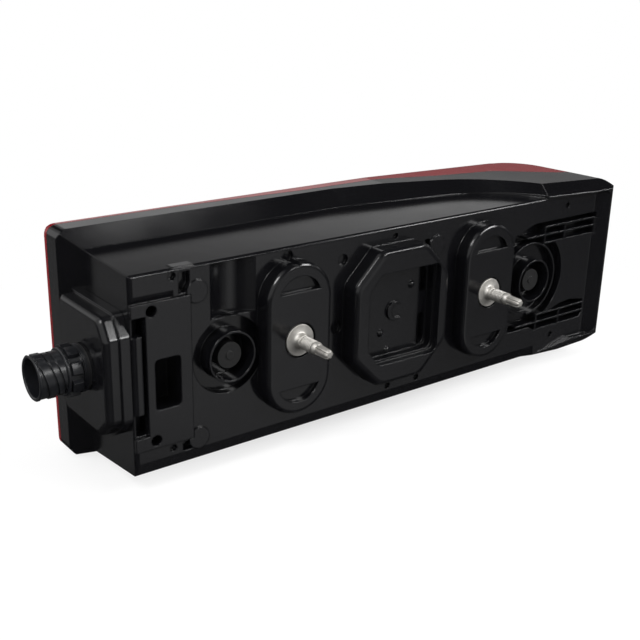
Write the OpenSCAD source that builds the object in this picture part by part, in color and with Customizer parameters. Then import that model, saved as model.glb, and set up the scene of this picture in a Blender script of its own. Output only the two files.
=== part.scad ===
// Rear combination lamp for a truck: a long moulded housing that bolts up by two studs, with a bayonet
// inlet on its end face, and a lens whose far end wraps round the vehicle's corner.
// The frame has +Z up and +Y out of the mounting face. Depth is measured the other way, from the faces
// of the stud pads towards the lens, and the connector end is at +X.

/* [Box] */
// Distance from the middle of the studs to the end face at the connector
box_end = 176.2; // [172:0.1:180]
// Height of the box's top edge above the studs
box_top = 52.5; // [51.5:0.1:54]
// Distance of the box's bottom edge below the studs
box_bottom = 60.5; // [59:0.1:62]
// Depth of the box's back face behind the pad faces
back_depth = 10; // [9:0.1:11]
// Wall of the housing
wall = 3; // [2.5:0.1:3.5]
// How far the top wall rises over the box's depth, as mould draft
top_draft = 2; // [1:0.1:3]
// How far the bottom wall falls over the box's depth
bottom_draft = 6; // [4:0.1:7]
// Radius along the box's edges
edge_r = 1.8; // [1:0.1:2.5]

/* [Flange and lens] */
// How far the rim stands out beyond the box's end face
rim_overhang = 10.3; // [9:0.1:11]
// Height of the rim above the studs
rim_top = 63.5; // [62:0.1:65]
// Distance of the rim below the studs
rim_bottom = 71; // [70:0.1:73]
// Depth at which the box meets the sloping flange
flange_depth = 61; // [60:0.1:62]
// How much deeper the flange's outer edge lies than its foot
flange_rise = 12; // [11:0.1:13]
// Depth of the joint between housing and lens at the connector end
seam_depth = 85.2; // [84:0.1:86]
// How much shallower that joint lies in the middle of the lamp
seam_fall = 5; // [4:0.1:6]
// Depth of the lens's edge
lens_edge = 88; // [87:0.1:90]
// Depth of the flat front of the lens
lens_front = 96; // [94:0.1:98]
// Wall of the lens
lens_wall = 2.8; // [2.4:0.1:3.2]
// Radius of the corners at the connector end
rim_corner_r = 6; // [4:0.5:8]

/* [Far end] */
// Distance from the middle of the studs to the tip of the far lip
far_end = 204.2; // [203:0.1:206]
// Height of the far end above the studs
far_top = 58.6; // [58:0.1:60]
// Distance of the far end below the studs
far_bottom = 62.8; // [62:0.1:64]
// Depth of the lip's crest
lip_depth = 5; // [4.5:0.1:6]
// Radius of the curve that takes the flange back to the mounting side
sweep_r = 75.5; // [74:0.1:77]
// Slope of the flange before that curve, in degrees
sweep_slope = 8; // [7:0.5:9]
// Radius of the lens's far corner, seen from above
corner_r = 26; // [24:0.5:27]
// Radius of the corners of the far end, seen from behind
far_corner_r = 9; // [7:0.5:11]

/* [Mounting] */
// Distance between the two studs
stud_spacing = 152; // [150:0.5:154]
// Diameter of the stud's thread
stud_d = 8; // [8:0.5:9]
// How far the studs stand out of the pads
stud_out = 27; // [22:0.5:32]
// Diameter of the stud's flange
stud_flange_d = 19; // [17:0.5:20]
// Thickness of the stud's flange
stud_flange_t = 2.4; // [2:0.1:3]
// Length of the smaller end of a stud
stud_end = 11.5; // [9:0.5:12]
// Thickness of a stud pad's face
pad_wall = 6; // [5.5:0.1:7]
// Width of a stud pad
pad_w = 44.6; // [42:0.2:46]
// Height of a stud pad
pad_h = 91; // [86:0.5:92]

/* [Octagonal pad] */
// Half width of the octagonal pad
oct_w = 37.5; // [36:0.5:39]
// Half height of the octagonal pad
oct_h = 43; // [41:0.5:44]
// Length that each corner is cut back
oct_cut = 19.5; // [18:0.5:22]
// How far the octagonal pad stands behind the stud pads' faces
oct_out = 2; // [1:0.1:3]
// Depth of the floor of its pocket
oct_floor = 8; // [7:0.1:9]

/* [Breather recesses] */
// Places of the two breathers along the lamp
breather_x = [117.5, -125.5]; // [-200:0.5:200]
// Height of the breathers
breather_z = -2.5; // [-4:0.1:-1]
// Radius of the recess round a breather
recess_r = 22.5; // [21:0.1:23]
// Outer radius of the tube that guards a breather
tube_r = 15; // [14:0.1:16]
// Radius of the breather plug
breather_r = 7.6; // [6.5:0.1:8]

/* [Connector] */
// Depth of the connector's axis
plug_depth = 41; // [40:0.1:42]
// Height of the connector's axis
plug_z = -3.3; // [-5:0.1:-2]
// How far the end cover stands out of the end face
cover_out = 13.8; // [12:0.1:15]
// Radius of the inlet at its mouth
mouth_r = 12.4; // [12.2:0.1:13]
// Radius inside the inlet
bore_r = 10.4; // [10:0.1:11]
// How far the inlet stands out of the end cover
inlet_out = 28.2; // [27:0.1:30]
// Radius of the locking ring
ring_r = 13.8; // [13.5:0.1:15]
// Length of the locking ring
ring_l = 10; // [9:0.5:11]

/* [Inside] */
// Distance of the main board from the inlet's axis
board_gap = 5; // [4.5:0.5:7]
// Thickness of the boards
board_t = 1.6; // [1.2:0.2:2]
// Clearance between the reflector tray and the lens
tray_gap = 15.2; // [13.2:0.1:17.2]
// Radius of a reflector bowl at its mouth
bowl_r = 22; // [20:0.5:23]

/* [Hidden] */
$fn = 48;

rim_end = box_end + rim_overhang;
board_depth = plug_depth + board_gap;
tray_depth = lens_front - lens_wall - tray_gap;
flange_slack = 0.1;
far_x = -far_end;
gap = 0.3;
cut = 1;

// Centre of the curve that takes the flange back, as x and depth
sweep_c = [-70, -25];
// Place along the lamp from which its height begins to taper
taper_x = -40;
// How much shorter the far end is at the bottom than at the top
far_lean = 3.6;
// Heights of the far lip's crest, above and below the studs
crest_top = 53;
crest_bottom = 55.4;
// Slant of the crest above, in degrees
crest_slant = 1.5;
// Place of the far lip's crest
crest_x = -199.4;
// Place of the lens's far corner
corner_c = [-165, lens_edge + 0.5 - corner_r];

function unit(v) = v / norm(v);
function corner(p, q, n, steps) =
    q[2] == 0 ? [[q.x, q.y]] :
    let (a = unit([p.x - q.x, p.y - q.y]), b = unit([n.x - q.x, n.y - q.y]))
    let (half = acos(a * b) / 2, c = [q.x, q.y] + unit(a + b) * q[2] / sin(half))
    let (s = [q.x, q.y] + a * q[2] / tan(half) - c, e = [q.x, q.y] + b * q[2] / tan(half) - c)
    let (from = atan2(s.y, s.x), turn = (atan2(e.y, e.x) - from + 540) % 360 - 180)
    [for (i = [0:steps]) c + q[2] * [cos(from + turn * i / steps), sin(from + turn * i / steps)]];
// Outline through points [x, y, radius], with an arc at each corner
function rounded(pts, steps = 6) =
    [for (i = [0:len(pts) - 1])
        each corner(pts[(i + len(pts) - 1) % len(pts)], pts[i], pts[(i + 1) % len(pts)], steps)];
function arc(c, r, from, to, steps) =
    [for (i = [0:steps]) c + r * [cos(from + (to - from) * i / steps), sin(from + (to - from) * i / steps)]];
function box_sketch(w, h, r) = rounded([[-w / 2, -h / 2, r], [w / 2, -h / 2, r], [w / 2, h / 2, r], [-w / 2, h / 2, r]]);

// Extrudes a sketch of x and z from one depth to another
module between(from, to) { translate([0, -from, 0]) rotate([90, 0, 0]) linear_extrude(to - from) children(); }
// Extrudes a sketch of x and depth from one height to another
module plan(from, to) { translate([0, 0, from]) mirror([0, 1, 0]) linear_extrude(to - from) children(); }
// Extrudes a sketch of depth and z along the lamp
module along(from, to) {
    translate([from, 0, 0]) mirror([0, 1, 0]) rotate([90, 0, 90]) linear_extrude(to - from) children();
}
// A rod along the depth at x and z
module rod(x, z, r, from, to) { between(from, to) translate([x, z]) circle(r); }
// A rod along the lamp on the connector's axis
module inlet_rod(r, from, to) {
    translate([from, -plug_depth, plug_z]) rotate([0, 90, 0]) cylinder(r = r, h = to - from);
}

// Outline of the whole lamp from behind, drawn in by e
module lamp_outline(e) {
    polygon(rounded([
        [rim_end - e, rim_top - e, rim_corner_r - e / 2],
        [taper_x, rim_top - e, 0],
        [far_x + e, far_top - e, far_corner_r - e / 2],
        [far_x + far_lean + e, -far_bottom + e, far_corner_r - e / 2],
        [taper_x, -rim_bottom + e, 0],
        [rim_end - e, -rim_bottom + e, rim_corner_r - e / 2]
    ]));
}

// Outline of the whole lamp from above, drawn in by e
module lamp_plan(e) {
    front = lens_front - e;
    polygon(concat(
        [[rim_end - e, back_depth + e], [rim_end - e, lens_edge - e], [rim_end - 26, front], [-135, front]],
        arc(corner_c, corner_r - e, 90, 172, 8),
        e > 0 ? [[-196 + e, 15], [-196 + e, back_depth + e]] :
            [[-196, 18], [far_x, 10], [far_x, lip_depth + 3], [crest_x - 0.4, lip_depth],
             [crest_x + 0.4, lip_depth], [-185, lip_depth + 0.3], [-125, back_depth]]
    ));
}

// Section of the whole lamp across its length, drawn in by e: its front falls back to the lens's edge
module lamp_section(e) {
    front = lens_front - e;
    fall = (lens_front - lens_edge) / 21;
    polygon([
        [-20, 90], [lens_edge - e - (90 - rim_top) * fall, 90], [front, rim_top - 21],
        [front, 21 - rim_bottom], [lens_edge - e - (90 - rim_bottom) * fall, -90], [-20, -90]
    ]);
}

// Air behind the flange, seen from above, for a line that lies off beyond the flange's foot
function air_line(off) =
    let (r = sweep_r + off, from = 90 + sweep_slope)
    let (t = sweep_c + r * [cos(from), sin(from)], d = flange_depth + off)
    concat(
        [[rim_end + 60, -60], [rim_end + 60, d], [t.x + (d - t.y) / tan(sweep_slope), d]],
        arc(sweep_c, r, from, 180, 20),
        [[sweep_c.x - r, -60]]
    );

// Air behind the flange: straight past the box, and sloping out to the rim above and below it
module flange_air(e) {
    foot_top = box_top + top_draft;
    foot_bottom = box_bottom + bottom_draft;
    deep = flange_rise + e * 1.4;
    plan(-foot_bottom, foot_top) polygon(air_line(e * 1.4));
    hull() {
        plan(foot_top - flange_slack, foot_top) polygon(air_line(e * 1.4));
        plan(rim_top, rim_top + flange_slack) polygon(air_line(deep));
    }
    hull() {
        plan(-foot_bottom, flange_slack - foot_bottom) polygon(air_line(e * 1.4));
        plan(-rim_bottom - flange_slack, -rim_bottom) polygon(air_line(deep));
    }
}

// Air beyond the box's end face, sloping out to the rim
module end_air(e) {
    foot = flange_depth + e * 1.4;
    plan(-90, 90)
        polygon([[box_end - e, -20], [box_end - e, foot], [rim_end, foot + flange_rise],
                 [rim_end + 20, foot + flange_rise], [rim_end + 20, -20]]);
}

// Slopes round the far lip, above and below: each falls away from its crest. A third slope takes
// the lamp's bottom out from the box's edge.
module lip_air(e) {
    crest = lip_depth + e * 1.4;
    translate([crest_x, 0, crest_top]) rotate([0, crest_slant, 0])
        along(-12, -128 - crest_x)
            polygon([[-20, 0], [crest, 0], [crest + 20, 12.4], [crest + 20, 40], [-20, 40]]);
    translate([crest_x, 0, -crest_bottom])
        along(-12, -128 - crest_x)
            polygon([[-20, 0], [crest, 0], [crest + 14, -15.4], [crest + 14, -40], [-20, -40]]);
    translate([-130, 0, e - box_bottom]) rotate([0, -4, 0])
        along(-50, 20)
            polygon([[-20, 0], [back_depth, 0], [back_depth + 16, -6.7], [back_depth + 16, -40], [-20, -40]]);
    plan(-90, 1 - crest_bottom)
        polygon([[-140, back_depth + e], [-176, crest], [-176, -20], [-100, -20], [-100, back_depth + e]]);
}

// Form of the whole lamp in front of the flange, drawn in by e
module lamp_form(e) {
    difference() {
        intersection() {
            between(0, lens_front) lamp_outline(e);
            plan(-80, 80) lamp_plan(e);
            along(-220, 200) lamp_section(e);
        }
        flange_air(e);
        end_air(e);
        lip_air(e);
    }
}

// Border that falls away along the bottom of the back face: its height, and its fall
border_h = 7;
border_fall = 1.2;

// Form of the box, drawn in by e
module box_form(e) {
    r = e == 0 ? edge_r : 0;
    deep = flange_depth + 8;
    intersection() {
        along(-150, box_end - e)
            polygon(rounded([
                [back_depth + e, box_top - e, r], [deep, box_top + top_draft - e, 0],
                [deep, -box_bottom - bottom_draft + e, 0], [back_depth + border_fall + e, -box_bottom + e, r],
                [back_depth + e, border_h - box_bottom + e / 2, 0]
            ], 3));
        plan(-90, 90)
            polygon(rounded([
                [box_end - e, back_depth + e, r * 1.2], [box_end - e, deep, 0], [-150, deep, 0],
                [-150, back_depth + e, 0]
            ], 3));
    }
}

// Everything behind the joint between housing and lens, moved forward by shift
module behind_seam(shift = 0) {
    middle = seam_depth - seam_fall;
    plan(-90, 90)
        polygon(concat(
            [[rim_end + 20, -20], [rim_end + 20, seam_depth + shift]],
            [for (p = rounded([
                [150, seam_depth, 0], [106, seam_depth, 120], [18, middle, 120], [-48, middle, 90],
                [-95, middle - 8.6, 50], [-142, middle - 12.5, 30], [-182, middle - 35.5, 18],
                [-215, middle - 47.5, 0], [-100, 0, 0]
            ], 4)) if (p.y > 1) [p.x, p.y + shift]],
            [[-215, -20]]
        ));
}

// Solid behind a recess, so that it keeps a wall
module backing(from, to) { between(from, to) offset(delta = wall) children(); }

// Stud pad: a long body with round ends and a rounded edge, made by turning and pushing one profile
pad_edge_r = 2.6;
function pad_profile(w, foot) = rounded([[w, foot, 0], [w, 0, pad_edge_r], [-w, 0, pad_edge_r], [-w, foot, 0]], 4);
module stud_pad() {
    reach = (pad_h - pad_w) / 2;
    foot = back_depth + wall;
    plan(-reach, reach) polygon(pad_profile(pad_w / 2, foot));
    for (z = [-reach, reach])
        translate([0, 0, z]) rotate([90, 0, 0]) rotate_extrude()
            polygon(concat([[0, foot]], [for (p = pad_profile(pad_w / 2, foot)) if (p.x > 0) p], [[0, 0]]));
}

module pad_hollow() {
    w = pad_w - 2 * wall;
    polygon(box_sketch(w, pad_h - 2 * wall, w / 2.1));
}

// Segments cut into a stud pad above and below, round the middle of its ends
module pad_segments() {
    chord = 28.7;
    for (side = [-1, 1]) difference() {
        translate([0, side * (pad_h - pad_w) / 2]) circle(pad_w / 3);
        translate([-pad_w, side > 0 ? -pad_h : -chord]) square([2 * pad_w, pad_h + chord]);
    }
}

function octagon(w, h, c, r) =
    [[w, h - c, r], [w - c, h, r], [c - w, h, r], [-w, h - c, r],
     [-w, c - h, r], [c - w, -h, r], [w - c, -h, r], [w, c - h, r]];

// Octagonal pad with a rounded edge, as one convex body
oct_edge_r = 3;
module octagonal_pad() {
    hull() {
        between(oct_edge_r - oct_out, back_depth + wall)
            polygon(rounded(octagon(oct_w, oct_h, oct_cut, 9), 5));
        for (turn = [30:30:90])
            between(oct_edge_r * (1 - sin(turn)) - oct_out, oct_edge_r)
                polygon(rounded(octagon(
                    oct_w - oct_edge_r * (1 - cos(turn)), oct_h - oct_edge_r * (1 - cos(turn)), oct_cut, 9
                ), 5));
    }
}

// Pocket in the octagonal pad: its outline drawn in by e, with two corners cut back
module oct_pocket_sketch(e) {
    polygon(rounded([
        [27 - e, 19, 3], [18, 29 - e, 3], [e - 29.5, 29 - e, 4], [e - 29.5, e - 29.5, 4],
        [17.5, e - 29, 2], [27 - e, -17.5, 2]
    ], 3));
}

// The pocket: a ledge half way down, a floor, and a trench along its far side with a tab in it
trench_x = -21;
trench_deep = 13;
module oct_hollow() {
    between(-oct_out - cut, 2.5) oct_pocket_sketch(0);
    between(0, oct_floor) oct_pocket_sketch(1.8);
    difference() {
        between(0, trench_deep) intersection() {
            oct_pocket_sketch(3);
            translate([trench_x - 20, -40]) square([20, 80]);
        }
        between(oct_floor - 2, trench_deep + cut) translate([trench_x - 20, -5.6]) square([20, 14.6]);
    }
}

// Small shapes on the pocket's floor: domes, and half a raised disc
module oct_marks() {
    for (p = [[-13.8, 15], [9.7, -12.3], [4.1, -24.6]])
        translate([p.x, -oct_floor - 0.6, p.y]) sphere(r = 2.4);
    difference() {
        rod(-0.5, 0.5, 6, oct_floor - 1.6, oct_floor + 1);
        rod(-2.5, 0.5, 4.6, oct_floor - 3, oct_floor + 2);
    }
}

// Panel that the terminal cover sits in
panel = [[141, -46], [box_end, 37]];
panel_slot = [168, 169.8];
panel_t = 2.2;
panel_raise = 1.2;
screw_at = [[164.5, 32.3], [164, -41.3]];
screw_cup_r = 3.1;
screw_seat = 22;
screw_r = 1.5;
screw_l = 11;
window = [[148, -24], [163.5, 5]];
window_deep = 26;

module rectangle(box, grow = 0) {
    translate([box[0].x - grow, box[0].y - grow])
        square([box[1].x - box[0].x + 2 * grow, box[1].y - box[0].y + 2 * grow]);
}
module rounded_rectangle(box, r) {
    polygon(rounded([[box[0].x, box[0].y, r], [box[1].x, box[0].y, r],
                     [box[1].x, box[1].y, r], [box[0].x, box[1].y, r]], 4));
}

// Ladder pockets at the far end: outlines, and the bars that stand in them
bar_t = 1.3;
upper_pocket = [[-108, 23.5], [-108, 30], [-128, 36.5], [-190, 36.5], [-190, 20.5], [-137, 20.5], [-130, 23.5]];
lower_pocket = [[-108, -38.5], [-108, -33.5], [-130, -33], [-137, -30], [-150, -29.6], [-160, -26.6],
                [-172, -25.4], [-186, -28], [-188, -36], [-183, -42.6], [-137, -42.6], [-130, -38.5]];
upper_bars = [[-138, 32.5, -189], [-120.4, 27, -189], [-138, 21.2, -189]];
lower_bars = [[-136.5, -30.7, -187], [-115.6, -36.2, -187], [-137, -42, -184]];
pocket_deep = 8;

module bars(rows, uprights, low, high) {
    for (row = rows) translate([row[2], row.y - bar_t / 2]) square([row.x - row[2], bar_t]);
    for (x = uprights) translate([x - bar_t / 2, low]) square([bar_t, high - low]);
}

// Small round pockets in the back face: x, z and radius
back_holes = [[151.4, 48.5, 2.2], [153.3, -49.3, 2], [38.6, 38.6, 3.4], [42.4, -2.2, 4], [-1.3, 47, 1.9],
              [-0.2, -50.3, 2.1], [-24.5, -50.6, 2], [-158.3, 45.2, 2], [-153.8, -48.7, 2],
              [-123.8, -28.9, 2.4], [78, 47.2, 3.4]];
// Ejector bosses, which stand just out of the back face
ejector_at = [[136.8, 37.9], [137.4, -47.2], [-35.8, 36]];
ejector_r = 6.4;
// Notches beside the bosses, as boxes of x and z
notches = [[[141, 38.6], [147.6, 50]], [[142, -52.8], [147.4, -47.4]], [[-29.6, 33.5], [-25.6, 41]]];
notch_deep = 4;

scoop_w = 14.5;
scoop_deep = 5;
scoop_r = (scoop_w * scoop_w + scoop_deep * scoop_deep) / (2 * scoop_deep);

// Long hollow above the near breather
module scoop(grow) {
    intersection() {
        translate([114.2, -(back_depth + scoop_deep - scoop_r), 20 - grow])
            cylinder(r = scoop_r + grow, h = box_top - 21.5 + 2 * grow);
        between(back_depth - cut, back_depth + scoop_deep + grow)
            translate([114.2 - scoop_w - grow, 0]) square([2 * scoop_w + 2 * grow, 60]);
    }
}

// Recess round a breather: a dish, the tube that stands in it, and the well inside the tube
tube_out = 4.5;
tube_wall = 1.3;
dish_deep = 5;
well_deep = 8;
plug_seat = 2;
// The far breather's recess is wider, with a thin wall round it and a groove round that
far_recess_r = 24.6;
far_wall_r = 26;
groove_r = 33;
groove_fall = 6;
function recess_at(x) = x > 0 ? recess_r : far_recess_r;

module far_groove(grow) {
    intersection() {
        translate([breather_x[1], breather_z]) difference() {
            circle(groove_r + grow);
            circle(far_wall_r - grow);
        }
        translate([-170, -60]) square([71 + grow, 120]);
    }
}

// Rib that runs across the corner of that groove
module diagonal_rib() {
    polygon([[-157.7, -20.9], [-145.3, -30.7], [-146.1, -31.7], [-158.5, -21.9]]);
}

// Posts that carry the main board: x and z
post_at = [[115, 30], [115, -38], [-1, 30], [-1, -38], [-112, 30], [-112, -38]];
post_r = 4;
end_board_x = -164;

module housing() {
    color([0.07, 0.07, 0.08])
    difference() {
        union() {
            difference() {
                union() {
                    intersection() { lamp_form(0); behind_seam(); }
                    intersection() { box_form(0); plan(-90, 90) polygon(air_line(wall * 1.5)); }
                }
                lamp_form(wall);
                box_form(wall);
            }
            for (side = [-1, 1]) translate([side * stud_spacing / 2, 0, 0]) stud_pad();
            octagonal_pad();
            for (x = breather_x) {
                rod(x, breather_z, recess_at(x) + wall, back_depth + cut, back_depth + dish_deep + wall);
                rod(x, breather_z, tube_r + 1, back_depth + cut, back_depth + well_deep + plug_seat + wall);
            }
            between(back_depth + cut, back_depth + groove_fall + wall) far_groove(wall);
            intersection() { scoop(wall); box_form(0); }
            for (p = [upper_pocket, lower_pocket])
                between(back_depth + cut, back_depth + pocket_deep + wall)
                    offset(delta = wall) polygon(p);
            backing(back_depth + cut, window_deep + 2) rectangle(window, 1);
            for (box = notches) backing(back_depth + cut, back_depth + notch_deep + wall) rectangle(box);
            backing(back_depth + cut, trench_deep + wall) translate([trench_x - 7, -26]) square([7, 52]);
            for (p = screw_at) {
                rod(p.x, p.y, post_r + 2, back_depth + cut, screw_seat + 5);
                rod(p.x, p.y, post_r, back_depth + cut, screw_seat + 16);
            }
            for (p = post_at) rod(p.x, p.y, post_r, back_depth + cut, board_depth);
            end_board_seat();
            between(back_depth + cut, 23) translate([165.2, -39]) square([8.8, 70]);
        }
        for (x = breather_x) {
            difference() {
                rod(x, breather_z, recess_at(x), back_depth - cut, back_depth + dish_deep);
                rod(x, breather_z, tube_r, back_depth - 2 * cut, back_depth + dish_deep + cut);
            }
            rod(x, breather_z, tube_r - tube_wall, 0, back_depth + well_deep);
            rod(x, breather_z, breather_r + 0.15, 0, back_depth + well_deep + plug_seat);
        }
        between(back_depth - cut, back_depth + groove_fall) difference() {
            far_groove(0);
            bars(upper_bars, [-138, -158.2, -189], 20.5, 33);
            bars(lower_bars, [-136.8, -160.6, -187], -42.6, -30);
            diagonal_rib();
        }
        scoop(0);
        far_floor();
        between(back_depth - cut, back_depth + pocket_deep) difference() {
            polygon(upper_pocket);
            bars(upper_bars, [-138, -158.2, -189], 20.5, 33);
        }
        between(back_depth - cut, back_depth + pocket_deep) difference() {
            polygon(lower_pocket);
            bars(lower_bars, [-136.8, -160.6, -187], -42.6, -30);
        }
        for (box = notches) between(back_depth - cut, back_depth + notch_deep) rectangle(box);
        for (side = [-1, 1]) {
            between(-cut, 3) translate([side * stud_spacing / 2, 0]) pad_segments();
            between(pad_wall, back_depth + wall + cut)
                translate([side * stud_spacing / 2, 0]) pad_hollow();
            rod(side * stud_spacing / 2, 0, stud_flange_d / 2 + 0.9, -cut, stud_flange_t);
            rod(side * stud_spacing / 2, 0, stud_d / 2 + 0.1, -cut, pad_wall + cut);
        }
        oct_hollow();
        for (p = back_holes) rod(p.x, p.y, p[2], -cut, back_depth + 2.2);
        panel_seat();
        along(panel[0].x + 10, box_end + cut)
            polygon([[back_depth - cut, panel[1].y + 4], [back_depth, panel[1].y + 4],
                     [back_depth + 1.4, panel[1].y], [back_depth - cut, panel[1].y]]);
        corner_slot();
        between(0, window_deep) rectangle(window, 1);
        for (p = screw_at) {
            rod(p.x, p.y, screw_cup_r + 1.2 + gap / 2, 0, screw_seat + 2);
            rod(p.x, p.y, screw_r + 0.05, 0, screw_seat + 13);
        }
        for (p = post_at) rod(p.x, p.y, screw_r + 0.05, board_depth - 12, board_depth + cut);
        inlet_rod(bore_r + 0.5, box_end - wall - cut, box_end + cut);
    }
    color([0.07, 0.07, 0.08]) {
        for (x = breather_x) difference() {
            rod(x, breather_z, tube_r, back_depth - tube_out, back_depth + dish_deep);
            rod(x, breather_z, tube_r - tube_wall, 0, back_depth + dish_deep + cut);
        }
        difference() {
            for (p = ejector_at) rod(p.x, p.y, ejector_r, back_depth - 0.9, back_depth + notch_deep + 1);
            panel_seat();
        }
        oct_marks();
        corner_bar();
    }
}

// Seat that the terminal cover lies in
module panel_seat() { between(0, back_depth + panel_t - panel_raise) rectangle(panel, gap / 2); }

// Tray in the far end, whose end wall slopes up to the lip's crest
module far_floor() {
    intersection() {
        plan(-90, 90)
            polygon([[-110, -5], [-110, back_depth], [-187.5, back_depth], [crest_x + 0.4, lip_depth],
                     [crest_x + 0.4, -5]]);
        between(-10, 30)
            polygon(rounded([
                [-100, -box_bottom - 4, 0], [-138, 0.3 - box_bottom, 0], [-173, 0.9 - crest_bottom, 0],
                [crest_x + 0.4, 0.3 - crest_bottom, 6],
                [crest_x + 0.4, crest_top - 0.9, 7], [-150, crest_top - 0.7, 0], [-100, crest_top - 0.7, 0]
            ], 4));
    }
}

// Slot behind the corner at the connector end, and a notch beyond each end of the bar that it leaves
bar_ends = [-24.5, 19.5];
module corner_slot() {
    between(0, 20) translate([panel_slot[0], -37]) square([panel_slot[1] - panel_slot[0], 66]);
    for (z = [[-37, bar_ends[0]], [bar_ends[1], 29]])
        between(0, 17) translate([panel_slot[0], z[0]]) square([box_end - panel_slot[0] - 1.4, z[1] - z[0]]);
}

// The bar itself, with a rounded top
module corner_bar() {
    plan(bar_ends[0], bar_ends[1])
        polygon(rounded([[panel_slot[1], 20, 0], [panel_slot[1], 9, 1.2], [box_end, 9, 2.6], [box_end, 20, 0]], 3));
}

// Two ribs on the floor that grip the end board
module end_board_seat() {
    for (side = [-1, 1])
        between(back_depth + cut, 34)
            translate([end_board_x - (side > 0 ? board_t / 2 + 2 : -board_t / 2), -20]) square([2, 30]);
}

module terminal_cover() {
    top = back_depth - panel_raise;
    color([0.08, 0.08, 0.09])
    difference() {
        union() {
            between(top, top + panel_t) rectangle(panel);
            for (p = screw_at) rod(p.x, p.y, screw_cup_r + 1.2, top, screw_seat + 2);
        }
        between(top - cut, top + panel_t + cut) rounded_rectangle(window, 2.5);
        between(top - cut, top + panel_t + cut) translate([panel_slot[0], -38]) square([20, 68]);
        for (p = screw_at) {
            rod(p.x, p.y, screw_cup_r, 0, screw_seat);
            rod(p.x, p.y, screw_r + 0.2, 0, screw_seat + 3);
        }
    }
}

module screw(x, z, seat, head_r, head_h, length) {
    difference() {
        rod(x, z, head_r, seat - head_h, seat);
        rod(x, z, head_r / 2, seat - head_h - cut, seat - head_h / 2, $fn = 6);
    }
    rod(x, z, screw_r, seat, seat + length);
}

module cover_screws() {
    color([0.1, 0.1, 0.1]) for (p = screw_at) screw(p.x, p.y, screw_seat, 2.75, 2.2, screw_l);
}

// Outline of the end cover, as depth and z, grown by g
cover_deep = 68;
module end_cover_sketch(g) {
    polygon(rounded([
        [12 - g, 19 + g / 2, 4], [19 - g / 2, 30.5 + g, 4], [cover_deep + g, 30.5 + g, 4],
        [cover_deep + g, -38 - g, 4], [24 - g / 2, -38 - g, 4], [12 - g, -27 - g / 2, 4]
    ], 3));
}

// End cover: a foot, a body whose edge is well rounded, and a hollow
cover_foot = 5.6;
cover_r = 3.4;
module end_cover() {
    face = box_end + cover_out;
    color([0.09, 0.09, 0.1])
    difference() {
        union() {
            along(box_end, box_end + cover_foot) end_cover_sketch(1.4);
            hull() {
                along(box_end + 1, face - cover_r) end_cover_sketch(0);
                for (turn = [22.5:22.5:90])
                    along(face - cover_r, face - cover_r * (1 - sin(turn)))
                        end_cover_sketch(-cover_r * (1 - cos(turn)));
            }
        }
        along(box_end - cut, face - wall) end_cover_sketch(-wall);
        inlet_rod(bore_r + 0.5, box_end, face + cut);
        plan(-90, 90)
            polygon([[box_end - 1.2, flange_depth - 1.4], [rim_end, flange_depth + flange_rise],
                     [rim_end, 90], [box_end - 1.2, 90]]);
    }
}

module connector_seal() {
    color([0.15, 0.15, 0.16])
    difference() {
        inlet_rod(bore_r + 2.3, box_end + cover_out, box_end + cover_out + 1.5);
        inlet_rod(bore_r + 0.5, box_end, box_end + cover_out + 3);
    }
}

// Bayonet inlet: a tube with a rolled mouth, whose outside is cut by slanting grooves for the plug's lugs
groove_w = 0.9;
groove_deep = 0.9;
groove_slant = 7;
module connector_shell() {
    face = box_end + cover_out;
    mouth = face + inlet_out;
    neck = mouth_r - 0.5;
    color([0.1, 0.1, 0.11])
    difference() {
        union() {
            inlet_rod(bore_r + 0.4, box_end + 2, face + 2);
            inlet_rod(neck, face + 1.5, mouth);
            inlet_rod(mouth_r, mouth - 3, mouth);
            inlet_rod(ring_r - 0.6, face + 1.5, face + 3);
        }
        for (back = [5.6, 10.4, 15.2])
            translate([mouth - back, -plug_depth, plug_z]) rotate([0, 90 - groove_slant, 0]) difference() {
                cylinder(r = neck + 3, h = groove_w, center = true);
                cylinder(r = neck - groove_deep, h = groove_w + 1, center = true);
            }
        inlet_rod(bore_r, face + 4, mouth + cut);
        inlet_rod(bore_r - 2, box_end, face + 5);
    }
}

// Nut that holds the inlet: a ring with a rim at each end and grip ribs between them
module locking_ring() {
    from = box_end + cover_out + 3;
    ribs = 9;
    color([0.12, 0.12, 0.13])
    difference() {
        union() {
            inlet_rod(ring_r - 1, from, from + ring_l);
            inlet_rod(ring_r, from, from + 1.6);
            inlet_rod(ring_r, from + ring_l - 2.4, from + ring_l - 0.6);
            for (i = [0:ribs - 1])
                translate([from, -plug_depth, plug_z]) rotate([i * 360 / ribs, 0, 0])
                    translate([0, -2, ring_r - 2]) cube([ring_l - 1, 4, 1.8]);
        }
        inlet_rod(mouth_r - 0.45, from - cut, from + ring_l + cut);
    }
}

pin_ring_r = 5.6;
pin_r = 0.9;
pin_at = concat([[0, 0]], [for (i = [0:5]) pin_ring_r * [cos(60 * i), sin(60 * i)]]);

module pin_carrier() {
    face = box_end + cover_out;
    color([0.13, 0.13, 0.14])
    difference() {
        inlet_rod(bore_r - 0.05, face + 5, face + 11);
        for (p = pin_at) translate([face, -plug_depth + p.x, plug_z + p.y]) rotate([0, 90, 0])
            cylinder(r = pin_r + 0.02, h = 20);
    }
}

module contact_pins() {
    face = box_end + cover_out;
    color("gold") for (p = pin_at)
        translate([face, -plug_depth + p.x, plug_z + p.y]) rotate([0, 90, 0]) cylinder(r = pin_r, h = 20);
}

module breather(x) {
    color([0.3, 0.3, 0.31]) {
        rod(x, breather_z, breather_r, back_depth - 1, back_depth + well_deep + plug_seat);
        rod(x, breather_z, 2.4, back_depth - 1.5, back_depth - 1);
    }
}
module breather_near() { breather(breather_x[0]); }
module breather_far() { breather(breather_x[1]); }

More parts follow.
